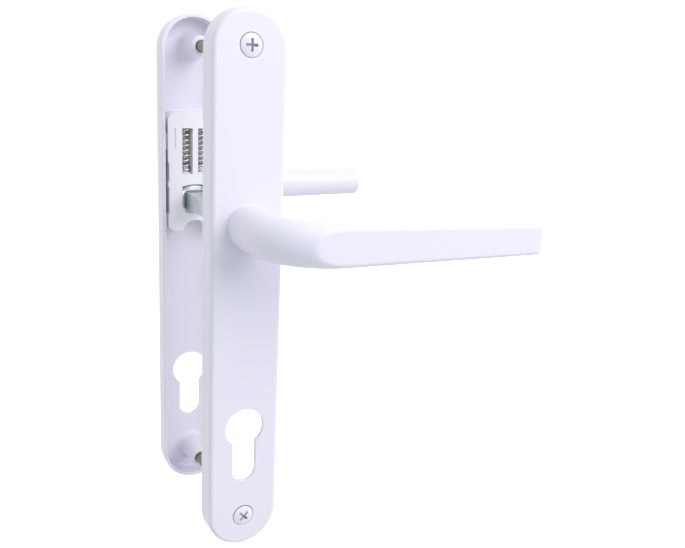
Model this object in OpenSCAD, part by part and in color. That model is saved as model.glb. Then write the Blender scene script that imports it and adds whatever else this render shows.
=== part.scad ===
// Lever handle set for a door with a euro-profile cylinder.
// A pair of long backplates stands either side of the door. Each carries a sprung lever,
// and one square spindle turns both levers together.
// Origin: on the spindle axis, in the plane where the inside backplate meets the door.
// +X runs along the levers, +Y goes through the door to the outside, +Z is up.

/* [Backplates] */
// Height of each backplate
plate_height = 240; // [236:1:300]
// Width of each backplate, which is also the diameter of its round ends
plate_width = 33; // [33:0.5:42]
// Depth of each backplate from its front to the door
plate_depth = 11; // [11:0.5:14]
// From the spindle axis up to the top of the backplate
plate_rise = 89; // [80:1:110]
// Wall thickness of the front
front_wall = 2.2; // [1.8:0.1:2.8]
// Wall thickness of the rim
rim_wall = 1.7; // [1.2:0.1:2]
// Rounding of the front edge
edge_radius = 2; // [0.5:0.1:3]

/* [Door and fixings] */
// Thickness of the door between the two backplates
door_thickness = 60; // [44:1:80]
// From each end of a backplate to its fixing bolt
bolt_inset = 15; // [12:0.5:20]
// Thread diameter of the fixing bolts
bolt_d = 5; // [4:0.5:6]
// Diameter of the raised countersunk bolt head
bolt_head_d = 9.5; // [9:0.5:12]
// How far each fixing post stands past the rim of the outside backplate
post_reach = 9; // [4:0.5:14]
// How far a bolt enters its fixing post
bolt_grip = 11; // [8:0.5:14]

/* [Cylinder cut-out] */
// From the spindle axis down to the centre of the cylinder
cylinder_drop = 92; // [85:1:96]
// Diameter of the round part of the cut-out
cutout_d = 18; // [17.2:0.1:18.4]
// Width of the slot below it
cutout_slot = 11; // [10.2:0.1:11.4]
// From the centre of the cylinder down to the end of the slot
cutout_tail = 26.2; // [25:0.1:27]

/* [Levers] */
// Side of the square spindle
spindle_side = 8; // [6:0.5:9.5]
// How far the spindle enters each lever
spindle_grip = 12; // [8:0.5:18]
// Diameter of the neck where it leaves the backplate
neck_d = 19.2; // [18.5:0.1:24]
// From the front of the backplate to the flat front of the lever
lever_projection = 46; // [42:1:60]
// From the spindle axis to the tip of the lever
lever_reach = 122; // [100:1:150]
// Radius of the bend between neck and bar, on its centre line
bend_radius = 24; // [18:1:30]
// Height of the bar at the bend
bar_height = 18; // [14:0.2:19]
// Height of the bar at its tip
tip_height = 15; // [12:0.2:17]
// Roundness of the bar from front to back at the bend
bar_round = 14; // [12:0.2:18]
// Roundness of the bar from front to back at its tip
tip_round = 14; // [11:0.2:15]
// From the centre line of the bar to its flat front
flat_offset = 4.3; // [3:0.1:5]
// Angle by which the inside bar drops towards its tip
inside_droop = 1.4; // [0:0.1:2]
// Angle by which the outside bar drops towards its tip
outside_droop = 0; // [0:0.1:2]

/* [Spring cassettes] */
// Width of the cassette
cassette_width = 27.2; // [27.2:0.1:28]
// From the spindle axis to the top of the cassette
cassette_rise = 43.3; // [43:0.1:50]
// From the spindle axis to the bottom of the cassette
cassette_drop = 15; // [15:0.1:20]
// Outside diameter of each return spring
spring_d = 5; // [4.6:0.1:5.2]
// Wire diameter of each return spring
wire_d = 0.9; // [0.6:0.1:1]
// Turns in each return spring
spring_turns = 10; // [7:1:11]

/* [Hidden] */
$fn = 64;

// Named clearances
press_gap = 0.05;     // between pieces pushed together
slip_gap = 0.1;       // between pieces that lie loosely on each other
running_gap = 0.08;   // between the neck and its bush, on the radius
moving_gap = 0.3;     // between pieces that pass each other
cut = 1;              // how far a cutting solid runs past what it cuts

// Backplates
plate_fall = plate_height - plate_rise;
inner_half = plate_width / 2 - rim_wall;
upper_bolt_z = plate_rise - bolt_inset;
lower_bolt_z = bolt_inset - plate_fall;
boss_r = bolt_d / 2 + 3.2;
post_base_r = boss_r + 2.8;
post_tip_r = boss_r - 0.9;
post_flare = 3.5;
post_edge = 1;
insert_r = bolt_d / 2 + 0.95;
insert_length = 10;
insert_sink = 1;
post_mouth_r = bolt_d / 2 + 0.35;
post_end = plate_depth + post_reach;
post_bore_start = post_end - bolt_grip - 1.5;
bolt_end = plate_depth + door_thickness + plate_depth - (post_end - bolt_grip);
head_dome = 1.1;
head_cone = (bolt_head_d - bolt_d) / 2;
recess_long = 5.2;
recess_wide = 1.1;
recess_deep = 2.2;

// Levers and their bearings. Depths run from the front of the backplate towards the door.
socket_side = spindle_side + slip_gap;
socket_corner = socket_side / sqrt(2);
socket_wall = 0.57;
groove_r = socket_corner + socket_wall;
stub_r = groove_r + 0.5;
bush_wall = 1.3;
bush_r = stub_r + running_gap + bush_wall;
flange_thick = 0.8;
flange_r = neck_d / 2;
neck_start = flange_thick + 0.15;
washer_start = front_wall + slip_gap;
washer_end = washer_start + 0.8;
washer_r = bush_r + 0.6;
circlip_start = washer_end + slip_gap;
circlip_end = circlip_start + 1;
circlip_r = washer_r - 0.2;
stub_end = circlip_end + moving_gap;
socket_end = spindle_grip + 0.5;
bar_centre = lever_projection - flat_offset;
bend_start = bar_centre - bend_radius;
collar_end = neck_start + 4;
flange_step = 0.05;
ring_points = 28;
bend_steps = 12;
bar_steps = 8;
tip_edge = 1;

// Spring cassettes
rocker_start = stub_end + 0.2;
cassette_face = plate_depth - 1.6;
rocker_end = cassette_face - 0.2;
rocker_r = socket_corner + socket_wall;
arm_tip_r = 1.8;
arm_top = 0.3;
leg_inner = rocker_r + 2 * moving_gap;
leg_outer = leg_inner + 4.3;
rocker_reach = leg_inner + 2.6;
lever_swing = 40;
plunger_rate = 0.93 * rocker_reach;
plunger_travel = plunger_rate * lever_swing * PI / 180;
leg_foot = arm_tip_r + moving_gap;
plunger_start = rocker_start + 0.1;
plunger_end = cassette_face - moving_gap;
rib_half = 1.35;
shelf_inner = rib_half + 0.35;
shelf_bottom = rocker_r + moving_gap + plunger_travel - 0.17;
shelf_top = shelf_bottom + 1.4;
spring_x = rib_half + 0.15 + spring_d / 2;
spring_side = spring_x + spring_d / 2 + slip_gap;
spring_depth = (plunger_start + plunger_end) / 2;
spigot_r = spring_d / 2 - wire_d - 0.25;
spigot_high = 2.5;
chamber_top = cassette_rise - 6.7;
rib_bottom = rocker_r + 2.7;
window_bottom = shelf_top - 0.7;
window_top = chamber_top - 1.1;
hub_window_half = rocker_r + moving_gap;
hub_window_bottom = -(spindle_side / sqrt(2) + moving_gap);
hub_window_top = rib_bottom - 0.8;
hub_window_arch = 21;
hub_window_chamfer = 1.6;
hub_window_rise = 3.2;
cavity_bottom = -8.4;
cavity_half = leg_outer + 0.4;
cavity_top = shelf_top + plunger_travel + moving_gap;
clip_pocket_r = washer_r + moving_gap;
groove_depth = 0.5;
scallop_r = 6.3;
scallop_z = -cassette_drop - 1;
cassette_corner = 4.5;
cassette_chamfer = 2.4;
cover_end = front_wall + 1.4;
cover_half = 12;
cover_bottom = cavity_bottom + 22.6;
cover_top = cassette_rise - 2;
lug_reach = inner_half - cassette_width / 2 - press_gap;

// Extrudes an outline drawn in X and Z between two depths.
module between(from, to) {
    translate([0, to - plate_depth, 0]) rotate([90, 0, 0]) linear_extrude(to - from) children();
}

// Round bar along the depth, centred at a height z.
module round_bar(r, from, to, z = 0, x = 0) {
    translate([x, to - plate_depth, z]) rotate([90, 0, 0]) cylinder(r = r, h = to - from);
}

// Solid of revolution about a depth axis; its outline is drawn as radius and depth.
module turned(z = 0) {
    translate([0, -plate_depth, z]) rotate([-90, 0, 0]) rotate_extrude() children();
}

// Square bar along the depth.
module square_bar(side, from, to) {
    between(from, to) square(side, center = true);
}

// A rectangle given by its corners.
module block(x0, x1, z0, z1) {
    translate([x0, z0]) square([x1 - x0, z1 - z0]);
}

// Places a piece of the inside set on the outside of the door.
module outside() {
    translate([0, door_thickness, 0]) mirror([0, 1, 0]) children();
}

// Half section of a backplate: radius across, depth up, with a rounded front edge.
module plate_section(half, from, to, edge) {
    translate([0, from + edge]) square([half, to - from - edge]);
    translate([0, from]) square([half - edge, edge]);
    translate([half - edge, from + edge]) intersection() {
        circle(r = edge);
        translate([0, -edge]) square([edge, edge]);
    }
}

// Long plate with two round ends.
module long_plate(half, from, to, top, bottom, edge) {
    turned(top - half) plate_section(half, from, to, edge);
    turned(half - bottom) plate_section(half, from, to, edge);
    translate([0, -plate_depth, half - bottom]) linear_extrude(top + bottom - 2 * half) {
        plate_section(half, from, to, edge);
        mirror([1, 0]) plate_section(half, from, to, edge);
    }
}

module long_slab(half, from, to, top, bottom) {
    between(from, to) {
        translate([0, top - half]) circle(r = half);
        translate([0, half - bottom]) circle(r = half);
        block(-half, half, half - bottom, top - half);
    }
}

// Euro profile: a circle with a round-ended slot below it.
module euro_outline() {
    translate([0, -cylinder_drop]) {
        circle(r = cutout_d / 2);
        translate([0, cutout_slot / 2 - cutout_tail]) circle(r = cutout_slot / 2);
        block(-cutout_slot / 2, cutout_slot / 2, cutout_slot / 2 - cutout_tail, 0);
    }
}

// What both backplates share: the shell, the holes for lever and cylinder, and the cassette's lugs.
module backplate_shell() {
    difference() {
        long_plate(plate_width / 2, 0, plate_depth, plate_rise, plate_fall, edge_radius);
        long_slab(inner_half, front_wall, plate_depth + cut, plate_rise - rim_wall, plate_fall - rim_wall);
        round_bar(bush_r + press_gap, -cut, front_wall + cut);
        between(-cut, front_wall + cut) euro_outline();
    }
    for (side = [0, 1]) {
        mirror([side, 0, 0]) between(front_wall - slip_gap, plate_depth - 2) {
            block(inner_half - lug_reach, inner_half + slip_gap, 25, 33);
            block(inner_half - lug_reach, inner_half + slip_gap, -13, -6);
        }
    }
}

// Seat for a raised countersunk head, with its clearance hole.
module bolt_seat(z) {
    round_bar(bolt_d / 2 + 0.25, -cut, plate_depth + cut, z);
    turned(z) {
        polygon([
            [0, -cut],
            [bolt_head_d / 2 + slip_gap, -cut],
            [bolt_head_d / 2 + slip_gap, 0],
            [bolt_d / 2 + slip_gap, head_cone],
            [0, head_cone]
        ]);
    }
}

module inside_plate() {
    color("white") difference() {
        union() {
            backplate_shell();
            for (z = [upper_bolt_z, lower_bolt_z]) {
                round_bar(boss_r, front_wall - slip_gap, plate_depth, z);
            }
        }
        bolt_seat(upper_bolt_z);
        bolt_seat(lower_bolt_z);
    }
}

// Outline of a fixing post: a flared foot, a tapering shank and a rounded tip.
module post_outline() {
    difference() {
        polygon([
            [0, front_wall - slip_gap],
            [post_base_r, front_wall - slip_gap],
            [post_base_r, front_wall],
            [boss_r, front_wall + post_flare],
            [post_tip_r, post_end - post_edge],
            [post_tip_r - post_edge, post_end],
            [0, post_end]
        ]);
        translate([0, post_bore_start]) {
            square([insert_r + press_gap, post_end - insert_sink - post_bore_start]);
            square([post_mouth_r, post_end]);
        }
    }
}

module outside_plate() {
    color("white") outside() {
        backplate_shell();
        for (z = [upper_bolt_z, lower_bolt_z]) turned(z) post_outline();
    }
}

// Lever geometry. A station is [x, depth in front of the plate, turn, half height, half thickness].
function blend(a, b, t) = a + (b - a) * t;
function bend_station(t) = [
    bend_radius * (1 - cos(90 * t)),
    bend_start + bend_radius * sin(90 * t),
    90 * t,
    blend(neck_d, bar_height, t) / 2,
    blend(neck_d, bar_round, t) / 2
];
function bar_station(t) = [
    blend(bend_radius, lever_reach - tip_edge, t),
    bar_centre,
    90,
    blend(bar_height, tip_height, t) / 2,
    blend(bar_round, tip_round, t) / 2
];
function tip_station() = [
    lever_reach,
    bar_centre,
    90,
    tip_height / 2 - tip_edge,
    tip_round / 2 - tip_edge
];
function neck_station(depth) = [0, depth, 0, neck_d / 2 - flange_step, neck_d / 2 - flange_step];
lever_stations = concat(
    [neck_station(collar_end - 1)],
    [for (i = [0:bend_steps]) bend_station(i / bend_steps)],
    [for (i = [1:bar_steps]) bar_station(i / bar_steps)],
    [tip_station()]
);
// The depth ahead of the plate stops at the flat front of the lever.
function lever_point(s, a, droop) =
    let (across = s[4] * cos(a), x = s[0] - across * cos(s[2]), out = s[1] + across * sin(s[2]))
    [x, -plate_depth - min(out, lever_projection), s[3] * sin(a) - tan(droop) * max(x, 0)];

module lever_arm(droop) {
    rings = len(lever_stations);
    tip_ring = (rings - 1) * ring_points;
    tip_centre = rings * ring_points;
    tip = lever_stations[rings - 1];
    points = concat(
        [for (s = lever_stations) for (i = [0:ring_points - 1]) lever_point(s, 360 * i / ring_points, droop)],
        [lever_point([tip[0], tip[1], 90, 0, 0], 0, droop), [0, -plate_depth - lever_stations[0][1], 0]]
    );
    sides = [
        for (r = [0:rings - 2]) for (i = [0:ring_points - 1])
            let (j = (i + 1) % ring_points, a = r * ring_points, b = a + ring_points)
            each [[a + i, a + j, b + j], [a + i, b + j, b + i]]
    ];
    caps = [
        for (i = [0:ring_points - 1])
            let (j = (i + 1) % ring_points)
            each [[tip_ring + i, tip_ring + j, tip_centre], [j, i, tip_centre + 1]]
    ];
    polyhedron(points, concat(sides, caps), convexity = 4);
}

module lever(droop) {
    difference() {
        union() {
            lever_arm(droop);
            round_bar(neck_d / 2, -collar_end, -neck_start);
            round_bar(stub_r, -neck_start - 1, stub_end);
        }
        square_bar(socket_side, -socket_end, stub_end + cut);
        turned() {
            translate([groove_r, circlip_start - press_gap]) {
                square([stub_r, circlip_end - circlip_start + 2 * press_gap]);
            }
        }
    }
}

module bush() {
    difference() {
        union() {
            round_bar(flange_r, -flange_thick, 0);
            round_bar(bush_r, -flange_thick, front_wall);
        }
        round_bar(stub_r + running_gap, -flange_thick - cut, front_wall + cut);
    }
}

module washer() {
    difference() {
        round_bar(washer_r, washer_start, washer_end);
        round_bar(stub_r + 0.15, washer_start - cut, washer_end + cut);
    }
}

module circlip() {
    difference() {
        round_bar(circlip_r, circlip_start, circlip_end);
        round_bar(groove_r + press_gap, circlip_start - cut, circlip_end + cut);
        between(circlip_start - cut, circlip_end + cut) block(-2, 2, -circlip_r - cut, 0);
    }
}

// Outline of the cassette, with its scalloped foot.
module cassette_outline() {
    half = cassette_width / 2;
    difference() {
        union() {
            block(-half, half, cassette_chamfer - cassette_drop, cassette_rise - cassette_corner);
            block(cassette_corner - half, half - cassette_corner, 0, cassette_rise);
            for (side = [-1, 1]) {
                translate([side * (half - cassette_corner), cassette_rise - cassette_corner]) {
                    circle(r = cassette_corner);
                }
            }
            polygon([
                [-half, cassette_chamfer - cassette_drop],
                [cassette_chamfer - half, -cassette_drop],
                [half - cassette_chamfer, -cassette_drop],
                [half, cassette_chamfer - cassette_drop]
            ]);
        }
        translate([0, scallop_z]) circle(r = scallop_r);
    }
}

// Opening in the face of the cassette that shows the rocker.
module hub_window() {
    intersection() {
        translate([0, hub_window_top - hub_window_arch]) circle(r = hub_window_arch, $fn = 180);
        polygon([
            [-hub_window_half, hub_window_bottom + hub_window_rise],
            [hub_window_chamfer - hub_window_half, hub_window_bottom],
            [hub_window_half - hub_window_chamfer, hub_window_bottom],
            [hub_window_half, hub_window_bottom + hub_window_rise],
            [hub_window_half, hub_window_top],
            [-hub_window_half, hub_window_top]
        ]);
    }
}

module cassette() {
    half = cassette_width / 2;
    difference() {
        between(front_wall, plate_depth) cassette_outline();
        // room for the rocker and the plungers
        between(front_wall - cut, cassette_face) {
            block(-cavity_half, cavity_half, cavity_bottom, rib_bottom);
            for (side = [0, 1]) mirror([side, 0]) {
                block(rib_half, cavity_half, rib_bottom - cut, cavity_top);
                block(rib_half, spring_side + slip_gap, cavity_top - cut, chamber_top);
                block(spring_side + 1.7, cavity_half, cavity_top + 2, chamber_top + 0.8);
            }
        }
        round_bar(clip_pocket_r, front_wall - cut, stub_end + slip_gap);
        // openings in the face, and a shallow groove beside each spring
        between(cassette_face - cut, plate_depth + cut) {
            hub_window();
            for (side = [0, 1]) mirror([side, 0]) block(rib_half, spring_side, window_bottom, window_top);
        }
        between(plate_depth - groove_depth, plate_depth + cut) {
            for (side = [0, 1]) mirror([side, 0]) {
                block(leg_outer - 1.4, leg_outer - 0.3, cavity_top + 5.5, window_top);
            }
        }
        // recess for the cover, and shallow steps along both sides
        between(front_wall - cut, cover_end) {
            block(-cover_half - slip_gap, cover_half + slip_gap, cover_bottom - slip_gap, cover_top + slip_gap);
        }
        for (side = [0, 1]) mirror([side, 0, 0]) between(front_wall - cut, plate_depth + cut) {
            block(half - 0.5, half + cut, 10, 19);
            block(half - 0.5, half + cut, -6, 7);
        }
    }
}

module cassette_cover() {
    between(front_wall + slip_gap, cover_end) {
        block(-cover_half, cover_half, cover_bottom, cover_top);
    }
}

// Square-holed hub with two rocker arms that lift the plungers.
module rocker() {
    difference() {
        between(rocker_start, rocker_end) {
            circle(r = rocker_r);
            block(-rocker_reach, rocker_reach, -arm_tip_r, arm_top);
            for (side = [-1, 1]) translate([side * rocker_reach, 0]) circle(r = arm_tip_r);
        }
        square_bar(socket_side, rocker_start - cut, rocker_end + cut);
    }
}

// Right-hand plunger: a leg that stands on a rocker arm, and a shelf that carries a spring.
module plunger() {
    between(plunger_start, plunger_end) {
        block(leg_inner, leg_outer, leg_foot, shelf_top);
        block(shelf_inner, leg_outer, shelf_bottom, shelf_top);
    }
    translate([spring_x, spring_depth - plate_depth, shelf_top - 0.2]) {
        cylinder(r = spigot_r, h = spigot_high + 0.2);
    }
}

// Compression spring with a closed turn at each end, right-hand side.
spring_bottom = shelf_top + press_gap;
spring_height = chamber_top - press_gap - spring_bottom;
closed_pitch = wire_d * 1.08;
open_pitch = (spring_height - wire_d - 2 * closed_pitch) / (spring_turns - 2);
spring_steps = 12;
wire_points = 6;
function coil_rise(turn) =
    turn < 1 ? turn * closed_pitch :
    turn < spring_turns - 1 ? closed_pitch + (turn - 1) * open_pitch :
    closed_pitch + (spring_turns - 2) * open_pitch + (turn - spring_turns + 1) * closed_pitch;
function coil_point(turn, around) =
    let (r = (spring_d - wire_d) / 2 + wire_d / 2 * cos(around))
    [r * cos(360 * turn), r * sin(360 * turn), coil_rise(turn) + wire_d / 2 * (1 + sin(around))];

module spring() {
    last = spring_turns * spring_steps;
    points = [
        for (i = [0:last]) for (k = [0:wire_points - 1])
            coil_point(i / spring_steps, 360 * (k + 0.5) / wire_points)
    ];
    sides = [
        for (i = [0:last - 1]) for (k = [0:wire_points - 1])
            let (n = (k + 1) % wire_points, a = i * wire_points, b = a + wire_points)
            [a + k, a + n, b + n, b + k]
    ];
    caps = [
        [for (k = [wire_points - 1:-1:0]) k],
        [for (k = [0:wire_points - 1]) last * wire_points + k]
    ];
    translate([spring_x, spring_depth - plate_depth, spring_bottom]) {
        polyhedron(points, concat(sides, caps), convexity = 10);
    }
}

// Raised countersunk bolt with a cross recess turned by an angle.
module bolt(z, turn) {
    difference() {
        union() {
            turned(z) {
                polygon([
                    [0, 0],
                    [bolt_head_d / 2, 0],
                    [bolt_d / 2, head_cone],
                    [bolt_d / 2, bolt_end - 1],
                    [bolt_d / 2 - 0.6, bolt_end],
                    [0, bolt_end]
                ]);
            }
            head_crown(z);
        }
        translate([0, 0, z]) rotate([0, turn, 0]) between(-head_dome - cut, recess_deep - head_dome) {
            square([recess_long, recess_wide], center = true);
            square([recess_wide, recess_long], center = true);
        }
    }
}

// Low dome on top of a bolt head.
crown_r = (pow(bolt_head_d / 2, 2) + pow(head_dome, 2)) / (2 * head_dome);
module head_crown(z) {
    turned(z) intersection() {
        translate([0, crown_r - head_dome]) circle(r = crown_r, $fn = 180);
        translate([0, -head_dome]) square([bolt_head_d / 2, head_dome]);
    }
}

// Threaded brass insert moulded into a fixing post, behind the lip of its mouth.
module thread_insert(z) {
    insert_end = post_end - insert_sink - press_gap;
    difference() {
        round_bar(insert_r, insert_end - insert_length, insert_end, z);
        round_bar(bolt_d / 2 + press_gap, insert_end - insert_length - cut, insert_end + cut, z);
    }
}

module left() {
    mirror([1, 0, 0]) children();
}

module spindle() {
    color("silver") square_bar(spindle_side, -spindle_grip, 2 * plate_depth + door_thickness + spindle_grip);
}

inside_plate();
color("white") lever(inside_droop);  // inside_lever
color("ivory") bush();  // inside_bush
color("silver") washer();  // inside_washer
color("dimgray") circlip();  // inside_circlip
color("ivory") cassette();  // inside_cassette
color("ivory") cassette_cover();  // inside_cassette_cover
color("silver") rocker();  // inside_rocker
color("ivory") left() plunger();  // inside_plunger_left
color("ivory") plunger();  // inside_plunger_right
color("gold") left() spring();  // inside_spring_left
color("gold") spring();  // inside_spring_right
outside_plate();
color("white") outside() lever(outside_droop);  // outside_lever
color("ivory") outside() bush();  // outside_bush
color("silver") outside() washer();  // outside_washer
color("dimgray") outside() circlip();  // outside_circlip
color("ivory") outside() cassette();  // outside_cassette
color("ivory") outside() cassette_cover();  // outside_cassette_cover
color("silver") outside() rocker();  // outside_rocker
color("ivory") outside() left() plunger();  // outside_plunger_left
color("ivory") outside() plunger();  // outside_plunger_right
color("gold") outside() left() spring();  // outside_spring_left
color("gold") outside() spring();  // outside_spring_right
spindle();
color("silver") bolt(upper_bolt_z, 0);  // upper_bolt
color("silver") bolt(lower_bolt_z, 45);  // lower_bolt
color("goldenrod") outside() thread_insert(upper_bolt_z);  // upper_insert
color("goldenrod") outside() thread_insert(lower_bolt_z);  // lower_insert
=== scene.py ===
import math
import bmesh
import bpy
import numpy as np
from mathutils import Matrix, Vector
from mathutils.geometry import delaunay_2d_cdt


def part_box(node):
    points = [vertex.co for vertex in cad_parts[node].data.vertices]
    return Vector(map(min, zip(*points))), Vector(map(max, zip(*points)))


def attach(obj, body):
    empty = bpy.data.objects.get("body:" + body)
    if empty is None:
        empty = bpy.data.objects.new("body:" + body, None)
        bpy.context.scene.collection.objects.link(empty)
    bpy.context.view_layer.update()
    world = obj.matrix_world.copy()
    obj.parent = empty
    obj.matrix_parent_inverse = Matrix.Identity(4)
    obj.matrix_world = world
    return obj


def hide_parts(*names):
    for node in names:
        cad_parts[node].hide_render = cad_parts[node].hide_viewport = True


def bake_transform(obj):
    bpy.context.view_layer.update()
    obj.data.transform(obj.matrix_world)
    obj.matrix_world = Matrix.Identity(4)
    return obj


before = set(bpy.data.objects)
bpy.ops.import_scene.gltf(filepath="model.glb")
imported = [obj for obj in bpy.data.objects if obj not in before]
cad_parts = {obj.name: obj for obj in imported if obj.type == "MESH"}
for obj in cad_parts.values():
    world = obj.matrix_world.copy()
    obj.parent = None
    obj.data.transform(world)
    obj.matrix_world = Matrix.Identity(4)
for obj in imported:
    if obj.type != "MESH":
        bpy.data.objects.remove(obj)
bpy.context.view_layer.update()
mm = 0.001
plateLow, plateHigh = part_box("inside_plate")
_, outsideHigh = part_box("outside_plate")
doorThickness = outsideHigh.y + plateLow.y  # both plates are equally deep
plateDepth = -plateLow.y
print("frame loaded,", len(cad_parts), "nodes, door", round(doorThickness / mm, 1), "mm")


# A closed outline of arcs joined by straight lines. Each arc is centre x, centre z, radius, first and
# last angle; a rising angle is a convex corner and a falling one a hollow corner. Points are centre +
# radius (cos, sin), with a support point on the straight just past an arc. Returns points and normals.
def outline(arcs, steps=12, support=0.12 * mm):
    curves = []
    for cx, cz, radius, first, last in arcs:
        sign = 1.0 if last > first else -1.0
        count = max(4, int(steps * abs(last - first) / 90)) + 1
        angle = np.radians(np.linspace(first, last, count))
        radial = np.stack([np.cos(angle), np.sin(angle)], 1)
        curves.append((np.array([cx, cz]) + radius * radial, radial * sign))
    points, normals = [], []
    for (here, hereNormal), (after, afterNormal) in zip(curves, curves[1:] + curves[:1]):
        gap = after[0] - here[-1]
        length = np.linalg.norm(gap)
        if length < 3 * support:  # the arcs meet: one shared point
            points.append(here[:-1])
            normals.append(hereNormal[:-1])
        else:
            step = gap / length * support
            points += [here, here[-1:] + step, after[:1] - step]
            normals += [hereNormal, hereNormal[-1:], afterNormal[:1]]
    return np.concatenate(points), np.concatenate(normals)


# Quarter circle in a wall's profile: from (offset, depth) it turns through 90 degrees about a centre
# radius away. turnIn is the pair of directions (start side, end side) as unit offsets.
def roundEdge(offset, depth, radius, turnIn, steps=5):
    angle = np.linspace(0, math.pi / 2, steps + 1)
    (ax, ay), (bx, by) = turnIn
    return [(offset + radius * (ax * (1 - math.cos(a)) + bx * math.sin(a)),
             depth + radius * (ay * (1 - math.cos(a)) + by * math.sin(a))) for a in angle]


# Closed solid of walls, which carry a profile of (offset, depth) round an outline, and flat planes.
class Shell:
    def __init__(self):
        self.points, self.faces, self.count = [], [], 0

    def wall(self, loop, profile):
        points, normals = loop
        profile = np.array(profile, float)
        flat = points[None] + profile[:, None, :1] * normals[None]
        depth = np.broadcast_to(profile[:, 1:2], flat.shape[:2])
        grid = np.stack([flat[..., 0], depth, flat[..., 1]], -1)
        rows, cols = grid.shape[:2]
        index = np.arange(rows * cols).reshape(rows, cols) + self.count
        turned = np.roll(index, -1, 1)
        squares = np.stack([index[:-1], turned[:-1], turned[1:], index[1:]], -1)
        self.faces += squares.reshape(-1, 4).tolist()
        self.points.append(grid.reshape(-1, 3))
        self.count += rows * cols
        return index[0], index[-1]

    # Fills the flat region between an outer ring and its holes with triangles.
    def plane(self, outer, holes=()):
        allPoints = np.concatenate(self.points)
        rings = [outer, *holes]
        ids = np.concatenate(rings)
        flat = allPoints[ids][:, [0, 2]] / mm
        starts = np.cumsum([0] + [len(ring) for ring in rings])
        after = [a + (np.arange(b - a) + 1) % (b - a) for a, b in zip(starts, starts[1:])]
        edges = np.stack([np.arange(len(ids)), np.concatenate(after)], 1).tolist()
        _, _, triangles, original, _, _ = delaunay_2d_cdt([Vector(p) for p in flat], edges, [], 0, 1e-6)
        source = np.array([o[0] for o in original])
        tri = source[np.array(triangles)]
        centre = flat[tri].mean(1)
        keep = insideRing(centre, flat[starts[0]:starts[1]])
        for a, b in zip(starts[1:], starts[2:]):
            keep &= ~insideRing(centre, flat[a:b])
        self.faces += ids[tri[keep]].tolist()

    def piece(self, name, material):
        return makePiece(name, np.concatenate(self.points), self.faces, material)


# Even-odd rule: a point is inside if a ray to the right crosses the ring an odd number of times.
def insideRing(p, ring):
    a, b = ring[None], np.roll(ring, -1, 0)[None]
    x, z = p[:, :1], p[:, 1:]
    rise = np.where(np.abs(b[..., 1] - a[..., 1]) < 1e-12, 1e-12, b[..., 1] - a[..., 1])
    meets = (b[..., 0] - a[..., 0]) * (z - a[..., 1]) / rise + a[..., 0]
    crosses = ((a[..., 1] > z) != (b[..., 1] > z)) & (x < meets)
    return crosses.sum(1) % 2 == 1


# Mesh from a point array and a face list, with doubles merged and faces turned outwards.
def makePiece(name, points, faces, material):
    mesh = bpy.data.meshes.new(name)
    mesh.from_pydata(np.asarray(points, float).tolist(), [], faces)
    work = bmesh.new()
    work.from_mesh(mesh)
    bmesh.ops.remove_doubles(work, verts=work.verts, dist=0.2e-6)
    bmesh.ops.recalc_face_normals(work, faces=work.faces)
    work.to_mesh(mesh)
    work.free()
    mesh.polygons.foreach_set("use_smooth", np.full(len(mesh.polygons), True))
    obj = bpy.data.objects.new(name, mesh)
    bpy.context.scene.collection.objects.link(obj)
    mesh.materials.append(material)
    return obj


# Closed surface from a grid of rows and columns; columns wrap round, and each end row closes on its
# centre.
def gridPiece(name, grid, material):
    rows, cols = grid.shape[:2]
    index = np.arange(rows * cols).reshape(rows, cols)
    turned = np.roll(index, -1, 1)
    faces = np.stack([index[:-1], turned[:-1], turned[1:], index[1:]], -1).reshape(-1, 4).tolist()
    ends = np.stack([grid[0].mean(0), grid[-1].mean(0)])
    for row, pole in ((0, rows * cols), (rows - 1, rows * cols + 1)):
        faces += np.stack([index[row], turned[row], np.full(cols, pole)], -1).tolist()
    return makePiece(name, np.concatenate([grid.reshape(-1, 3), ends]), faces, material)


# Mirror image across the middle of the door.
def outsidePoints(points):
    return np.asarray(points) * [1, -1, 1] + [0, doorThickness, 0]


# The outside twin of an inside piece.
def mirrorPiece(source, name):
    points = np.empty(len(source.data.vertices) * 3)
    source.data.vertices.foreach_get("co", points)
    faces = [list(p.vertices) for p in source.data.polygons]
    return makePiece(name, outsidePoints(points.reshape(-1, 3)), faces, source.data.materials[0])


# Wraps a shader socket so that sums and products on it add Math nodes.
class Wire:
    def __init__(self, graph, socket):
        self.graph, self.socket = graph, socket

    def math(self, operation, *others, first=(), clamp=False):
        settings = {"operation": operation, "use_clamp": clamp}
        return self.graph.node("ShaderNodeMath", settings, dict(enumerate((*first, self, *others))))

    def __add__(self, other):
        return self.math("ADD", other)

    def __mul__(self, other):
        return self.math("MULTIPLY", other)

    def __sub__(self, other):
        return self.math("SUBTRACT", other)

    def __rsub__(self, other):
        return self.math("SUBTRACT", first=(other,))

    __radd__ = __add__
    __rmul__ = __mul__


# A node tree. One method adds any node: its type, its settings, and the values or links of its sockets.
class Graph:
    def __init__(self, tree):
        self.tree = tree

    def feed(self, slot, value):
        if isinstance(value, Wire):
            self.tree.links.new(value.socket, slot)
        else:
            slot.default_value = value

    def node(self, kind, settings=None, inputs=None, output=0, stops=()):
        node = self.tree.nodes.new(kind)
        for key, value in (settings or {}).items():
            setattr(node, key, value)
        for place, colour in enumerate(stops):
            node.color_ramp.elements[place].color = colour
        for key, value in (inputs or {}).items():
            self.feed(node.inputs[key], value)
        return Wire(self, node.outputs[output])


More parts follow.
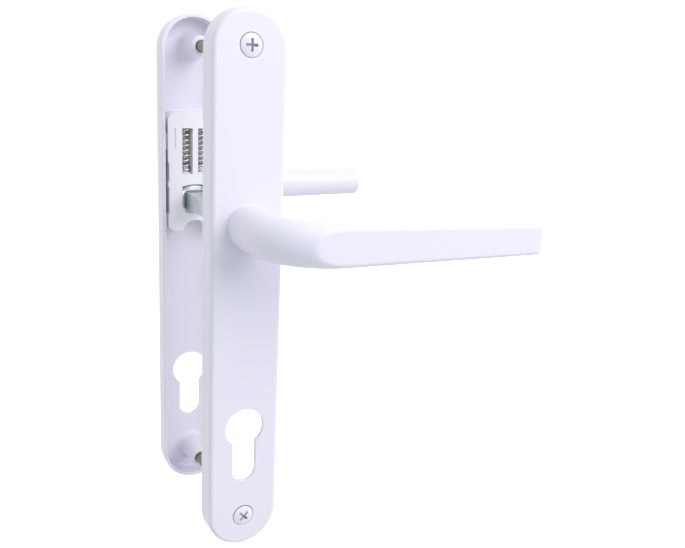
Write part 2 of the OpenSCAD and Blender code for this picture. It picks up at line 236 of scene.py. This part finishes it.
# One material: a Principled shader with constants on its own sockets, and nodes for what varies.
class Finish(Graph):
    def __init__(self, name, **constants):
        self.material = bpy.data.materials.new(name)
        self.material.use_nodes = True
        super().__init__(self.material.node_tree)
        self.tree.nodes.clear()
        self.shader = self.tree.nodes.new("ShaderNodeBsdfPrincipled")
        out = self.tree.nodes.new("ShaderNodeOutputMaterial")
        self.tree.links.new(self.shader.outputs[0], out.inputs[0])
        self.set(**constants)
        self.place = self.node("ShaderNodeTexCoord", output="Object")

    def noise(self, scale, detail=2.0, stretch=(1, 1, 1)):
        moved = self.node("ShaderNodeMapping", inputs={"Vector": self.place, "Scale": stretch})
        inputs = {"Vector": moved, "Scale": scale, "Detail": detail}
        return self.node("ShaderNodeTexNoise", inputs=inputs)

    def mix(self, factor, first, second):
        inputs = {0: factor, 6: first, 7: second}
        return self.node("ShaderNodeMix", {"data_type": "RGBA"}, inputs, output=2)

    def bump(self, height, strength, distance, normal=None):
        inputs = {"Height": height, "Strength": strength, "Distance": distance}
        if normal:
            inputs["Normal"] = normal
        return self.node("ShaderNodeBump", inputs=inputs)

    def softEdges(self, radius):
        return self.node("ShaderNodeBevel", {"samples": 6}, {"Radius": radius})

    def set(self, **sockets):
        for socket, value in sockets.items():
            self.feed(self.shader.inputs[socket.replace("_", " ")], value)
        return self.material


coat = {
    "colour": (0.80, 0.788, 0.866, 1), "shade": (0.78, 0.768, 0.85, 1), "cloudScale": 18, "cloudShare": 0.8,
    "roughness": 0.34, "roughnessDrift": 0.08, "roughnessGrain": 0.06, "gloss": 0.08, "glossDrift": 0.06,
    "peelSize": 1.6 * mm, "grainRatio": 3.2, "peelShare": 0.7, "peelStrength": 0.35, "peelDepth": 0.012 * mm,
}


# White powder coat: a fine orange peel, faint cloudiness, and roughness that drifts a little.
def powderCoat(name="white_powder_coat", softRadius=0):
    f = Finish(name, Coat_Roughness=0.3, IOR=1.45, Specular_IOR_Level=0.32)
    clouds = f.noise(coat["cloudScale"], 3)
    peel = f.noise(1 / coat["peelSize"], 2)
    fine = f.noise(coat["grainRatio"] / coat["peelSize"], 1)
    edges = f.softEdges(softRadius) if softRadius else None
    cloudy = clouds.math("MULTIPLY", coat["cloudShare"], clamp=True)
    drift = (clouds - 0.5) * coat["roughnessDrift"] + (fine - 0.5) * coat["roughnessGrain"]
    relief = peel * coat["peelShare"] + fine * (1 - coat["peelShare"])
    return f.set(
        Base_Color=f.mix(cloudy, coat["colour"], coat["shade"]),
        Roughness=drift + coat["roughness"],
        Coat_Weight=(clouds - 0.5) * coat["glossDrift"] + coat["gloss"],
        Normal=f.bump(relief, coat["peelStrength"], coat["peelDepth"], edges))


nylon = {
    "colour": (0.90, 0.885, 0.92, 1), "shade": (0.87, 0.855, 0.885, 1), "roughness": 0.46,
    "flowScale": 60, "roughnessDrift": 0.16, "grainScale": 2600, "grainStrength": 0.25,
    "grainDepth": 0.01 * mm, "edge": 0.25 * mm,
}


# White nylon: slightly warm, satin, with faint flow marks and a fine mould texture.
def mouldedNylon():
    f = Finish("white_nylon", IOR=1.53)
    flow = f.noise(nylon["flowScale"], 3, (1, 1, 0.35))
    grain = f.noise(nylon["grainScale"], 2)
    edges = f.softEdges(nylon["edge"])
    return f.set(
        Base_Color=f.mix(flow, nylon["colour"], nylon["shade"]),
        Roughness=(flow - 0.5) * nylon["roughnessDrift"] + nylon["roughness"],
        Normal=f.bump(grain, nylon["grainStrength"], nylon["grainDepth"], edges))


metal = {
    "patchScale": 220, "patchDrift": 0.2, "lineDrift": 0.15, "lineStrength": 0.3, "lineDepth": 0.015 * mm,
    "edge": 0.2 * mm,
}


# Plated or drawn metal: patchy tone, and fine lines stretched along the way the metal was drawn.
def platedMetal(name, colour, shade, roughness, grain=(1, 1, 1), grainScale=900):
    f = Finish(name, Metallic=1.0)
    patches = f.noise(metal["patchScale"], 3)
    lines = f.noise(grainScale, 3, grain)
    edges = f.softEdges(metal["edge"])
    drift = (patches - 0.5) * metal["patchDrift"] + (lines - 0.5) * metal["lineDrift"]
    return f.set(
        Base_Color=f.mix(patches, colour, shade),
        Roughness=drift + roughness,
        Normal=f.bump(lines, metal["lineStrength"], metal["lineDepth"], edges))


whiteCoat = powderCoat()
whiteCoatSoft = powderCoat("white_powder_coat_edges", 0.3 * mm)
whiteNylon = mouldedNylon()
zincPlate = platedMetal("zinc_plate", (0.84, 0.87, 0.87, 1), (0.60, 0.65, 0.66, 1), 0.40, (1, 0.05, 1))
bolt = {
    "headEnd": -plateDepth + 2.1 * mm, "recessStart": -plateDepth - 0.02 * mm,
    # the recess colour is painted shade: a darker bluish grey for the cross recess and the cone under the
    # head
    "recess": (0.60, 0.61, 0.66, 1),
    "steel": (0.46, 0.43, 0.40, 1), "steelShade": (0.27, 0.25, 0.24, 1), "patchScale": 260, "lineScale": 1200,
    "roughness": 0.30, "patchDrift": 0.12, "lineDrift": 0.1, "pitch": 0.8 * mm, "lineShare": 0.05,
    "threadStrength": 0.9, "threadDepth": 0.4 * mm, "edge": 0.12 * mm,
}


# Bolt: the head is coated white like the backplate and the shank is plated steel with a rolled thread.
# One switch along the bolt's length turns the coat on, and another paints shade into the recess and the cone
# below
# the rim: a darker bluish grey that stands in for the shade falling there.
def boltFinish():
    f = Finish("coated_bolt", IOR=1.5)
    along = f.node("ShaderNodeSeparateXYZ", inputs={"Vector": f.place}, output=1)
    head = along.math("LESS_THAN", bolt["headEnd"])
    face = along.math("LESS_THAN", bolt["recessStart"])
    patches = f.noise(bolt["patchScale"], 3)
    lines = f.noise(bolt["lineScale"], 2, (1, 0.1, 1))
    steel = f.mix(patches, bolt["steel"], bolt["steelShade"])
    # painted shade: inside the recess and below the rim the white coat turns to a darker bluish grey
    coatAndRecessShade = f.mix(face, bolt["recess"], coat["colour"])
    thread = (along * (1 / bolt["pitch"])).math("FRACT").math("PINGPONG", 0.5)
    relief = (thread + lines * bolt["lineShare"]) * (1 - head)
    drift = (patches - 0.5) * bolt["patchDrift"] + (lines - 0.5) * bolt["lineDrift"]
    return f.set(
        Base_Color=f.mix(head, steel, coatAndRecessShade),
        Metallic=1 - head,
        Roughness=drift + bolt["roughness"],
        Normal=f.bump(relief, bolt["threadStrength"], bolt["threadDepth"], f.softEdges(bolt["edge"])))


boltPlate = boltFinish()
springWire = platedMetal("spring_wire", (0.92, 0.88, 0.84, 1), (0.70, 0.66, 0.62, 1), 0.24, grainScale=1500)
clipSteel = platedMetal("clip_steel", (0.16, 0.16, 0.17, 1), (0.09, 0.09, 0.10, 1), 0.4)
brass = platedMetal("turned_brass", (0.78, 0.62, 0.33, 1), (0.66, 0.50, 0.24, 1), 0.28)
print("finishes made")

cadFinish = {
    "bush": whiteNylon, "cassette": whiteNylon, "cover": whiteNylon, "plunger": whiteNylon,
    "washer": zincPlate, "rocker": zincPlate, "spindle": zincPlate, "circlip": clipSteel,
    "insert": brass, "bolt": boltPlate, "spring": springWire,
    "plate": whiteCoatSoft, "lever": whiteCoatSoft,
}
for nodeName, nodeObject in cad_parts.items():
    finish = next(m for word, m in cadFinish.items() if word in nodeName)
    nodeObject.data.materials.clear()
    nodeObject.data.materials.append(finish)


leverLow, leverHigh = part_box("inside_lever")
leverShape = {
    "reach": leverHigh.x,
    "front": -leverLow.y,        # the flat, measured from the door seat
    "neckRadius": -leverLow.x,
    "neckStart": plateDepth + 0.95 * mm,
    "stubRadius": 6.8 * mm,
    "stubEnd": leverHigh.y,
    "grooveRadius": 6.3 * mm,
    "groove": (-6.8 * mm, -7.95 * mm),
    "socketHalf": 4.05 * mm,
    "socketEnd": plateDepth + 12.5 * mm,
    "bendRadius": 24 * mm,
    "flatOffset": 4.3 * mm,
    "bendHeight": 18 * mm,
    "tipHeight": 15 * mm,
    "thickness": 14 * mm,
    "flatEdge": 0.7 * mm,
    "tipEdge": 1.1 * mm,
    "tipBackEdge": 4.0 * mm,
    "insideDroop": 1.4,  # degrees
    "outsideDroop": 0,
    "columns": 128,
    "bendRows": 56,
    "barRows": 90,
}


# Smallest of value and limit, with a parabola of the given width between the two.
def softLimit(value, limit, blend):
    h = np.clip(0.5 + 0.5 * (limit - value) / blend, 0, 1)
    return limit + (value - limit) * h - blend * h * (1 - h)


# Rows run from the bottom of the socket, over the stub and shoulder, along the neck, round a circular
# bend and along the bar to the tip. A bar point is centre + half thickness cos v across and half height
# sin v up, cut off softly at the flat, and lowered by tan(droop) times x.
def leverGrid(d, droop):
    v = np.linspace(0, 2 * math.pi, d["columns"], endpoint=False) + math.pi / d["columns"]
    cosV, sinV = np.cos(v), np.sin(v)
    square = 1 / np.maximum(np.abs(cosV), np.abs(sinV))
    soft = 0.15 * mm
    g0, g1 = d["groove"]
    stub, end, neck = d["stubRadius"], d["stubEnd"], d["neckRadius"]
    turned = [  # radius, y, squareness
        (d["socketHalf"] - soft, -d["socketEnd"], 1), (d["socketHalf"], soft - d["socketEnd"], 1),
        (d["socketHalf"], end - 2 * soft, 1), (d["socketHalf"], end - soft, 1),
        (d["socketHalf"] + soft, end, 1), (stub - 3 * soft, end, 0), (stub - 2 * soft, end, 0),
        (stub, end - 2 * soft, 0), (stub, end - 3 * soft, 0),
        (stub, g0 + 0.02 * mm, 0), (stub, g0, 0), (d["grooveRadius"], g0 - 0.01 * mm, 0),
        (d["grooveRadius"], g0 - 0.04 * mm, 0), (d["grooveRadius"], g1 + 0.04 * mm, 0),
        (d["grooveRadius"], g1 + 0.01 * mm, 0), (stub, g1, 0), (stub, g1 - 0.02 * mm, 0),
        (stub, soft - d["neckStart"], 0), (stub + soft, -d["neckStart"], 0),
        (neck - 4 * soft, -d["neckStart"], 0), (neck - 3 * soft, -d["neckStart"], 0),
        (neck - 1.2 * soft, -d["neckStart"] - 0.4 * soft, 0),
        (neck - 0.4 * soft, -d["neckStart"] - 1.2 * soft, 0),
        (neck, -d["neckStart"] - 3 * soft, 0), (neck, -d["neckStart"] - 4 * soft, 0),
    ]
    turned = np.array(turned)
    radius = turned[:, :1] * np.where(turned[:, 2:] > 0, square[None], 1)
    rows = [np.stack([-radius * cosV, np.broadcast_to(turned[:, 1:2], radius.shape), radius * sinV], -1)]
    barCentre = d["front"] - d["flatOffset"]
    bendStart = barCentre - d["bendRadius"]
    t = np.linspace(0, 1, d["bendRows"])
    swing = t * math.pi / 2
    bend = np.stack([
        d["bendRadius"] * (1 - np.cos(swing)), bendStart + d["bendRadius"] * np.sin(swing), swing,
        neck + (d["bendHeight"] / 2 - neck) * t, neck + (d["thickness"] / 2 - neck) * t], 1)
    t = np.linspace(0, 1, d["barRows"])[1:]
    straight = d["reach"] - d["tipBackEdge"] - d["bendRadius"]
    slope = (d["tipHeight"] - d["bendHeight"]) / 2 / (d["reach"] - d["bendRadius"])
    bar = np.stack([
        d["bendRadius"] + straight * t, np.full_like(t, barCentre), np.full_like(t, math.pi / 2),
        d["bendHeight"] / 2 + slope * straight * t, np.full_like(t, d["thickness"] / 2)], 1)
    x, out, turn, height, thick = (c[:, None] for c in np.concatenate([bend, bar]).T)
    across = thick * cosV
    px, pOut, pz = x - across * np.cos(turn), out + across * np.sin(turn), height * sinV
    pOut = softLimit(pOut, d["front"], d["flatEdge"])
    # the tip closes in a rounded edge, small at the flat and large at the back, then a flat end
    lastOut, lastZ = pOut[-1], pz[-1]
    back = np.clip((d["front"] - lastOut) / (2 * d["flatOffset"]), 0, 1)
    edge = d["tipEdge"] + (d["tipBackEdge"] - d["tipEdge"]) * back * back * (3 - 2 * back)
    toCentre = np.stack([barCentre - lastOut, -lastZ])
    toCentre /= np.linalg.norm(toCentre, axis=0)
    tip = []
    for a in np.linspace(0, math.pi / 2, 12):
        inset = edge * (1 - math.cos(a))
        drop = slope * (d["tipBackEdge"] - edge * (1 - math.sin(a))) * np.sign(lastZ)
        tip.append(np.stack([d["reach"] - edge * (1 - math.sin(a)), lastOut + toCentre[0] * inset,
                             lastZ + toCentre[1] * inset + drop * np.abs(np.sin(v))], 0))
    _, rimOut, rimZ = tip[-1]
    endX = np.full_like(v, d["reach"])
    for share in (0.98, 0.8, 0.5, 0.2):
        tip.append(np.stack([endX, barCentre + (rimOut - barCentre) * share, rimZ * share], 0))
    tip = np.array(tip)
    px = np.concatenate([px, tip[:, 0]])
    pOut = np.concatenate([pOut, tip[:, 1]])
    pz = np.concatenate([pz, tip[:, 2]])
    rows.append(np.stack([px, -pOut, pz - math.tan(math.radians(droop)) * np.maximum(px, 0)], -1))
    return np.concatenate(rows)


insideLever = gridPiece("inside_lever_coated", leverGrid(leverShape, leverShape["insideDroop"]), whiteCoat)
outsideGrid = outsidePoints(leverGrid(leverShape, leverShape["outsideDroop"]))
outsideLever = gridPiece("outside_lever_coated", outsideGrid, whiteCoat)
for piece, node in ((insideLever, "inside_lever"), (outsideLever, "outside_lever")):
    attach(piece, "levers")
    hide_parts(node)
print("levers made,", len(insideLever.data.polygons), "faces each")


plate = {
    "frontWall": 2.2 * mm, "rimWall": 1.7 * mm, "frontEdge": 2.0 * mm, "draft": 0.25 * mm,
    "rimEdge": 0.3 * mm, "floorFillet": 0.8 * mm, "holeEdge": 0.12 * mm, "bushHole": 8.23 * mm,
    "boltInset": 15 * mm, "boltRadius": 2.5 * mm, "headRadius": 4.75 * mm, "bossRadius": 5.7 * mm,
    "cylinderDrop": 92 * mm, "cutoutRadius": 9.0 * mm, "slotHalf": 5.5 * mm, "tail": 26.2 * mm,
    "slotCorner": 0.4 * mm, "headGap": 0.3 * mm,
}


def stadium(half, top, bottom, steps=24):
    return outline([(0, top - half, half, 0, 180), (0, bottom + half, half, 180, 360)], steps)


def circleLoop(radius, z=0.0, x=0.0, count=64):
    angle = np.linspace(0, 2 * math.pi, count, endpoint=False)
    unit = np.stack([np.cos(angle), np.sin(angle)], 1)
    return np.array([x, z]) + radius * unit, unit


# Round part, hollow corners into the slot, and the slot's round end.
def euroOutline(d, z):
    r, w, f = d["cutoutRadius"], d["slotHalf"], d["slotCorner"]
    alpha = math.degrees(math.asin((w + f) / (r + f)))
    cornerZ = z - math.sqrt((r + f) ** 2 - (w + f) ** 2)
    return outline([
        (0, z, r, alpha - 90, 270 - alpha), (-(w + f), cornerZ, f, 90 - alpha, 0),
        (0, z - d["tail"] + w, w, 180, 360), (w + f, cornerZ, f, 180, 90 + alpha)], 20)


# Profile of a hole with rounded lips: from the front plane over the lip, down the wall and out on the
# floor.
def throughHole(edge, front, floor):
    flat = 0.1 * mm
    lip = roundEdge(edge, front, edge, ((0, 1), (-1, 0)))
    foot = roundEdge(0, floor - edge, edge, ((1, 0), (0, 1)))
    wall = [(0, front + edge + flat), (0, floor - edge - flat)]
    return [(edge + flat, front), *lip, *wall, *foot, (edge + flat, floor)]


# Dished plate: front plane, rounded front edge, drafted outer wall, rim, inner wall and floor, pierced by
# the bush hole and the euro cut-out. fixings adds the bosses or posts and says which of their rings
# pierce a plane.
def plateShell(d, low, high, fixings):
    half, top, bottom, depth = high.x, high.z, low.z, -low.y
    shell, flat = Shell(), 0.3 * mm
    front, floor, seat = -depth, d["frontWall"] - depth, 0.0
    draft, edge, rim, wall, fillet = d["draft"], d["frontEdge"], d["rimEdge"], d["rimWall"], d["floorFillet"]
    profile = [(-draft - edge - flat, front)]
    profile += roundEdge(-draft - edge, front, edge, ((0, 1), (1, 0)), 10)
    profile += [(-draft, front + edge + 0.05 * mm), (0, seat - rim - flat)]
    profile += roundEdge(0, seat - rim, rim, ((-1, 0), (0, 1)))
    profile += [(-rim - 0.1 * mm, seat), (0.1 * mm + rim - wall, seat)]
    profile += roundEdge(rim - wall, seat, rim, ((0, -1), (-1, 0)))
    profile += [(-wall, seat - rim - flat), (-wall, floor + fillet + flat)]
    profile += roundEdge(-wall, floor + fillet, fillet, ((-1, 0), (0, -1)))
    profile += [(-wall - fillet - flat, floor)]
    frontOuter, floorOuter = shell.wall(stadium(half, top, bottom), profile)
    frontHoles, floorHoles = [], []
    for loop in (circleLoop(d["bushHole"]), euroOutline(d, -d["cylinderDrop"])):
        a, b = shell.wall(loop, throughHole(d["holeEdge"], front, floor))
        frontHoles.append(a)
        floorHoles.append(b)
    for z in (top - d["boltInset"], bottom + d["boltInset"]):
        fixings(shell, d, z, front, floor, frontHoles, floorHoles)
    shell.plane(frontOuter, frontHoles)
    shell.plane(floorOuter, floorHoles)
    return shell


# Countersunk hole, bore, boss top at the door seat, boss wall and a fillet on the floor.
def boltBoss(shell, d, z, front, floor, frontHoles, floorHoles):
    head, bore, boss = d["headRadius"] + d["headGap"], d["boltRadius"] + 0.25 * mm, d["bossRadius"]
    soft, flat = 0.15 * mm, 0.25 * mm
    cone = d["headRadius"] - d["boltRadius"]
    profile = [
        (head + soft + flat, front), (head + soft, front), (head + 0.3 * soft, front + 0.3 * soft),
        (head, front + soft), (bore + 2 * soft, front + cone - 2 * soft), (bore, front + cone + soft),
        (bore, -2 * soft), (bore, -soft), (bore + soft, 0), (bore + 2 * soft, 0),
        (boss - 2 * soft, 0), (boss - soft, 0), (boss, -soft), (boss, -2 * soft),
        (boss, floor + 3 * soft), (boss, floor + 2 * soft),
    ]
    profile += roundEdge(boss, floor + 2 * soft, 2 * soft, ((1, 0), (0, -1)))
    profile += [(boss + 2 * soft + flat, floor)]
    a, b = shell.wall(circleLoop(0, z), profile)
    frontHoles.append(a)
    floorHoles.append(b)


post = {
    "foot": 8.5 * mm, "flare": 3.5 * mm, "root": 5.7 * mm, "tip": 4.8 * mm, "reach": 9 * mm,
    "edge": 1.0 * mm, "mouth": 2.85 * mm, "lipDepth": 1.0 * mm, "bore": 3.5 * mm, "boreDepth": 12.5 * mm,
}


# Post: a flared foot whose radius falls as a quarter ellipse, a tapering shank, a rounded tip and a blind
# bore.
def boltPost(shell, d, z, front, floor, frontHoles, floorHoles):
    p, flat = post, 0.25 * mm
    t = np.linspace(0, math.pi / 2, 12)
    footRadius = p["foot"] - (p["foot"] - p["root"]) * np.sin(t)
    foot = np.stack([footRadius, floor + p["flare"] * (1 - np.cos(t))], 1)
    tipY = p["reach"]
    t = np.linspace(0, math.pi / 2, 7)
    tip = np.stack([p["tip"] - p["edge"] * (1 - np.cos(t)), tipY - p["edge"] * (1 - np.sin(t))], 1)
    lip = 0.15 * mm
    mouth, lipEnd, boreEnd = p["mouth"], tipY - p["lipDepth"], tipY - p["boreDepth"]
    inner = [(mouth + lip + 0.1 * mm, tipY), (mouth + lip, tipY), (mouth, tipY - lip),
             (mouth, tipY - 2 * lip), (mouth, lipEnd), (p["bore"], lipEnd), (p["bore"], boreEnd),
             (0.0, boreEnd)]
    profile = [(p["foot"] + flat, floor), *foot.tolist(), *tip.tolist(), *inner]
    a, _ = shell.wall(circleLoop(0, z), profile)
    floorHoles.append(a)


insidePlate = plateShell(plate, plateLow, plateHigh, boltBoss).piece("inside_plate_coated", whiteCoat)
twinShell = plateShell(plate, plateLow, plateHigh, boltPost).piece("outside_plate_draft", whiteCoat)
outsidePlate = mirrorPiece(twinShell, "outside_plate_coated")
bpy.data.objects.remove(twinShell)
for piece, node in ((insidePlate, "inside_plate"), (outsidePlate, "outside_plate")):
    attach(piece, "plates")
    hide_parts(node)

rockerFace = {"radius": 8.5 * mm, "hole": 4.06 * mm, "front": -1.76 * mm, "back": -1.64 * mm}


# Thin zinc washer on the end of the rocker, just behind the face of the cassette.
def rockerWasher(d):
    shell = Shell()
    disc = shell.wall(circleLoop(d["radius"]), [(0, d["front"]), (0, d["back"])])
    h, e = d["hole"], 0.3 * mm
    square = outline([(h - e, h - e, e, 0, 90), (e - h, h - e, e, 90, 180),
                      (e - h, e - h, e, 180, 270), (h - e, e - h, e, 270, 360)], 3)
    hole = shell.wall(square, [(0, d["front"]), (0, d["back"])])
    for outer, inner in zip(disc, hole):
        shell.plane(outer, [inner])
    return shell


insideWasher = rockerWasher(rockerFace).piece("inside_rocker_face", zincPlate)
outsideWasher = mirrorPiece(insideWasher, "outside_rocker_face")
for piece in (insideWasher, outsideWasher):
    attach(piece, "levers")

lugs = {"rows": ((25 * mm, 33 * mm), (-13 * mm, -6 * mm)), "inner": 13.62 * mm, "outer": 14.95 * mm,
        "front": 2.1 * mm, "back": 2.0 * mm, "edge": 0.35 * mm}


# Four lugs that hold the cassette sideways, each a rounded bar from the floor of the backplate.
def lugShell(d):
    shell = Shell()
    e = d["edge"]
    for low, high in d["rows"]:
        for side in (-1, 1):
            x0, x1 = sorted((side * d["inner"], side * d["outer"]))
            loop = outline([(x1 - e, high - e, e, 0, 90), (x0 + e, high - e, e, 90, 180),
                            (x0 + e, low + e, e, 180, 270), (x1 - e, low + e, e, 270, 360)], 4)
            start, end = d["front"] - plateDepth, -d["back"]
            profile = [(0, start), (0, end - e)] + roundEdge(0, end - e, 0.8 * e, ((-1, 0), (0, 1)), 3)
            first, last = shell.wall(loop, profile)
            shell.plane(first)
            shell.plane(last)
    return shell


insideLugs = lugShell(lugs).piece("inside_cassette_lugs", whiteCoat)
outsideLugs = mirrorPiece(insideLugs, "outside_cassette_lugs")
for piece in (insideLugs, outsideLugs):
    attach(piece, "plates")
print("backplates made,", len(insidePlate.data.polygons), "faces")


# Wire round a helix with a closed turn at each end: centre = (R cos t, R sin t, rise(t)), with the wire's
# section in the plane of the axis.
def springGrid(node, d):
    low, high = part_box(node)
    axis = (low + high) / 2
    turns, wire = d["turns"], d["wire"]
    coilRadius = d["diameter"] / 2 - wire / 2
    t = np.linspace(0, turns, int(turns * d["stepsPerTurn"]) + 1)
    closed = wire * d["closedPitch"]
    height = high.z - low.z - wire
    rise = np.interp(t, [0, 1, turns - 1, turns], [0, closed, height - closed, height])
    around = np.linspace(0, 2 * math.pi, d["sides"], endpoint=False)
    radius = coilRadius + wire / 2 * np.cos(around)[None]
    angle = 2 * math.pi * t[:, None] * d["hand"]
    z = low.z + wire / 2 + rise[:, None] + wire / 2 * np.sin(around)[None]
    return np.stack([axis.x + radius * np.cos(angle), axis.y + radius * np.sin(angle), z], -1)


coil = {
    "turns": 10, "wire": 0.9 * mm, "diameter": 5 * mm, "closedPitch": 1.06,
    "stepsPerTurn": 28, "sides": 12, "hand": 1,
}
for side in ("inside", "outside"):
    for hand in ("left", "right"):
        node = f"{side}_spring_{hand}"
        spring = gridPiece(f"{node}_wire", springGrid(node, coil), springWire)
        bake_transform(spring)
        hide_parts(node)
print("springs made")


studio = {
    "floorSize": 3.0, "floorGlow": 1.02, "floorGrain": 6,
    "paper": (0.60, 0.60, 0.60, 1), "paperShade": (0.58, 0.58, 0.58, 1),
    "brightSide": (0.35, 0.92, -0.20), "dimAt": -0.7, "brightAt": 0.72, "strength": 1.06,
    "dim": (0.585, 0.61, 0.655, 1), "bright": (1, 1, 1, 1),
}
edge, level = studio["floorSize"] / 2, plateLow.z
corners = [(-edge, -edge, level), (edge, -edge, level), (edge, edge, level), (-edge, edge, level)]
floorMesh = bpy.data.meshes.new("studio_floor")
floorMesh.from_pydata(corners, [], [(0, 1, 2, 3)])
floor = bpy.data.objects.new("studio_floor", floorMesh)
bpy.context.scene.collection.objects.link(floor)
paper = Finish("studio_paper", Roughness=0.9, Specular_IOR_Level=0.2, Emission_Color=(1, 1, 1, 1),
               Emission_Strength=studio["floorGlow"])
paperTone = paper.mix(paper.noise(studio["floorGrain"]), studio["paperShade"], studio["paper"])
floorMesh.materials.append(paper.set(Base_Color=paperTone))
floor.visible_diffuse = False
floor.visible_glossy = False

# The room is a soft white tent, brightest behind the object and to its right, and dimmest near the viewer.
# Its tone follows the dot product of each direction with the bright side.
world = bpy.data.worlds.new("studio")
bpy.context.scene.world = world
world.use_nodes = True
room = Graph(world.node_tree)
background = room.tree.nodes["Background"]
direction = room.node("ShaderNodeTexCoord", output="Generated")
lean = room.node("ShaderNodeVectorMath", {"operation": "DOT_PRODUCT"},
                 {0: direction, 1: studio["brightSide"]}, output="Value")
spreadInputs = {"Value": lean, "From Min": studio["dimAt"], "From Max": studio["brightAt"]}
spread = room.node("ShaderNodeMapRange", {"interpolation_type": "SMOOTHSTEP"}, spreadInputs, output="Result")
tone = room.node("ShaderNodeValToRGB", inputs={"Fac": spread}, output="Color",
                 stops=(studio["dim"], studio["bright"]))
room.feed(background.inputs["Color"], tone)
room.feed(background.inputs["Strength"], studio["strength"])

lights = {
    "key": {"place": (0.50, -0.85, 0.62), "size": 1.0, "power": 8.5, "colour": (1.0, 0.98, 0.995)},
    "top": {"place": (-0.15, -0.35, 0.9), "size": 0.5, "power": 0.9, "colour": (1.0, 0.985, 1.0)},
}


# A round soft light, turned towards the spindle.
def softLight(name, d):
    data = bpy.data.lights.new(name, "AREA")
    data.shape, data.size, data.energy, data.color = "DISK", d["size"], d["power"], d["colour"]
    light = bpy.data.objects.new(name, data)
    bpy.context.scene.collection.objects.link(light)
    light.location = d["place"]
    light.rotation_euler = (-Vector(d["place"])).to_track_quat("-Z", "Y").to_euler()


for name, values in lights.items():
    softLight(name, values)
bpy.context.scene.view_settings.view_transform = "Standard"

view = {  # where the camera stands, in millimetres, and how it is turned, in degrees
    "place": (-122.15, -315.5, 64.05), "yaw": 28.97, "pitch": 14.19, "roll": 2.80,
    "focal": 41.28, "sensor": 36, "nearest": 0.01,
}
yaw, pitch, roll = (math.radians(view[k]) for k in ("yaw", "pitch", "roll"))
ahead = Vector((math.sin(yaw) * math.cos(pitch), math.cos(yaw) * math.cos(pitch), -math.sin(pitch)))
right = Vector((math.cos(yaw), -math.sin(yaw), 0))
up = right.cross(ahead)
tiltedRight = right * math.cos(roll) + up * math.sin(roll)
tiltedUp = up * math.cos(roll) - right * math.sin(roll)
cameraData = bpy.data.cameras.new("camera")
cameraData.lens, cameraData.sensor_width = view["focal"], view["sensor"]
cameraData.clip_start = view["nearest"]
camera = bpy.data.objects.new("camera", cameraData)
bpy.context.scene.collection.objects.link(camera)
turn = Matrix((tiltedRight, tiltedUp, -ahead)).transposed().to_4x4()
camera.matrix_world = Matrix.Translation(Vector(view["place"]) * mm) @ turn
bpy.context.scene.camera = camera
print("stage set")
